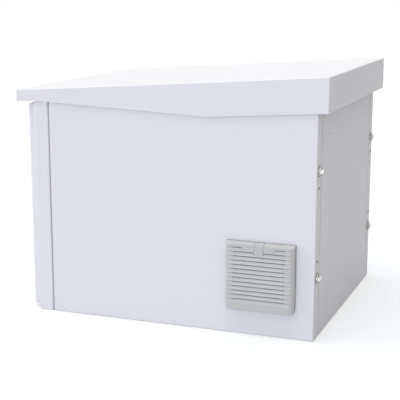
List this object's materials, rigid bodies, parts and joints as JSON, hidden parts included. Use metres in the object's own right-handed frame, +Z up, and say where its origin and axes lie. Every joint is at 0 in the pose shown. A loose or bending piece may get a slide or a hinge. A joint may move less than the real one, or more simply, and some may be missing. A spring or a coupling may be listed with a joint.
{
  "type": "roadside utility cabinet",
  "caption": "Low sheet-metal equipment cabinet with a sloped canopy roof, hinged front door, lift-off side panels on quarter-turn latches and a louvred filter fan in one side.",
  "frame": {"origin": "centre of the base tray's underside, midway between the front frame's face and the rear panel's face", "axes": "+Z up, -Y out of the door, +X out of the side panel with the filter fan"},
  "size_m": [0.6247, 0.7795, 0.6073],
  "materials": {
    "white_paint": "fine-textured powder coat, cool white",
    "galvanised": "galvanised sheet",
    "bright_zinc": "bright zinc plate",
    "latch_chrome": "chrome plated die casting",
    "brass_plate": "plain brass",
    "grey_plastic": "light grey moulded plastic",
    "black_plastic": "black moulded plastic",
    "black_rubber": "soft black rubber or foam",
    "filter_felt": "white fibre mat"
  },
  "bodies": {
    "cabinet": {"base_tray": "galvanised", "gland_plate": "galvanised", "gland_screws": "bright_zinc", "cable_grommets": "black_rubber", "earth_stud": "brass_plate", "front_frame": "white_paint", "rear_frame": "galvanised", "top_plate": "galvanised", "frame_bolts": "bright_zinc", "side_panel_right": "white_paint", "side_panel_left": "white_paint", "rear_panel": "white_paint", "rear_panel_nuts": "bright_zinc", "roof": "white_paint", "roof_supports": "galvanised", "roof_bolts": "bright_zinc", "mounting_rails": "galvanised", "rail_bolts": "bright_zinc", "hinge_frame_leaves": "bright_zinc", "hinge_pins": "bright_zinc", "rear_latch_barrels": "latch_chrome", "locating_pins": "latch_chrome", "filter_frame": "grey_plastic", "filter_mat": "filter_felt", "fan_housing": "black_plastic", "fan_guard": "bright_zinc", "fan_screws": "bright_zinc"},
    "door": {"door": "white_paint", "door_seal": "black_rubber", "hinge_door_leaves": "bright_zinc", "door_latch_barrels": "latch_chrome"},
    "door_upper_latch": {"door_latch_upper": "latch_chrome", "door_cam_upper": "bright_zinc"},
    "door_lower_latch": {"door_latch_lower": "latch_chrome", "door_cam_lower": "bright_zinc"},
    "upper_right_latch": {"latch_upper_right": "latch_chrome", "cam_upper_right": "bright_zinc"},
    "lower_right_latch": {"latch_lower_right": "latch_chrome", "cam_lower_right": "bright_zinc"},
    "upper_left_latch": {"latch_upper_left": "latch_chrome", "cam_upper_left": "bright_zinc"},
    "lower_left_latch": {"latch_lower_left": "latch_chrome", "cam_lower_left": "bright_zinc"},
    "cover": {"louvre_cover": "grey_plastic"},
    "rotor": {"fan_rotor": "black_plastic"}
  },
  "joints": [
    {"name": "door_hinge", "type": "hinge", "parent": "cabinet", "child": "door", "pos_m": [-0.293, -0.3615, 0.2635], "axis": [0, 0, -1], "range_deg": [0, 120]},
    {"name": "door_upper_turn", "type": "hinge", "parent": "door", "child": "door_upper_latch", "pos_m": [0.238, -0.3785, 0.395], "axis": [0, 1, 0], "range_deg": [0, 90]},
    {"name": "door_lower_turn", "type": "hinge", "parent": "door", "child": "door_lower_latch", "pos_m": [0.238, -0.3785, 0.147], "axis": [0, 1, 0], "range_deg": [0, 90]},
    {"name": "upper_right_turn", "type": "hinge", "parent": "cabinet", "child": "upper_right_latch", "pos_m": [0.281, 0.3545, 0.395], "axis": [0, -1, 0], "range_deg": [0, 90]},
    {"name": "lower_right_turn", "type": "hinge", "parent": "cabinet", "child": "lower_right_latch", "pos_m": [0.281, 0.3545, 0.147], "axis": [0, -1, 0], "range_deg": [0, 90]},
    {"name": "upper_left_turn", "type": "hinge", "parent": "cabinet", "child": "upper_left_latch", "pos_m": [-0.281, 0.3545, 0.395], "axis": [0, 1, 0], "range_deg": [0, 90]},
    {"name": "lower_left_turn", "type": "hinge", "parent": "cabinet", "child": "lower_left_latch", "pos_m": [-0.281, 0.3545, 0.147], "axis": [0, 1, 0], "range_deg": [0, 90]},
    {"name": "cover_hinge", "type": "hinge", "parent": "cabinet", "child": "cover", "pos_m": [0.3081, 0.227, 0.064], "axis": [0, 1, 0], "range_deg": [0, 90]},
    {"name": "rotor_spin", "type": "hinge", "parent": "cabinet", "child": "rotor", "pos_m": [0.26, 0.227, 0.143], "axis": [1, 0, 0], "continuous": true}
  ]
}
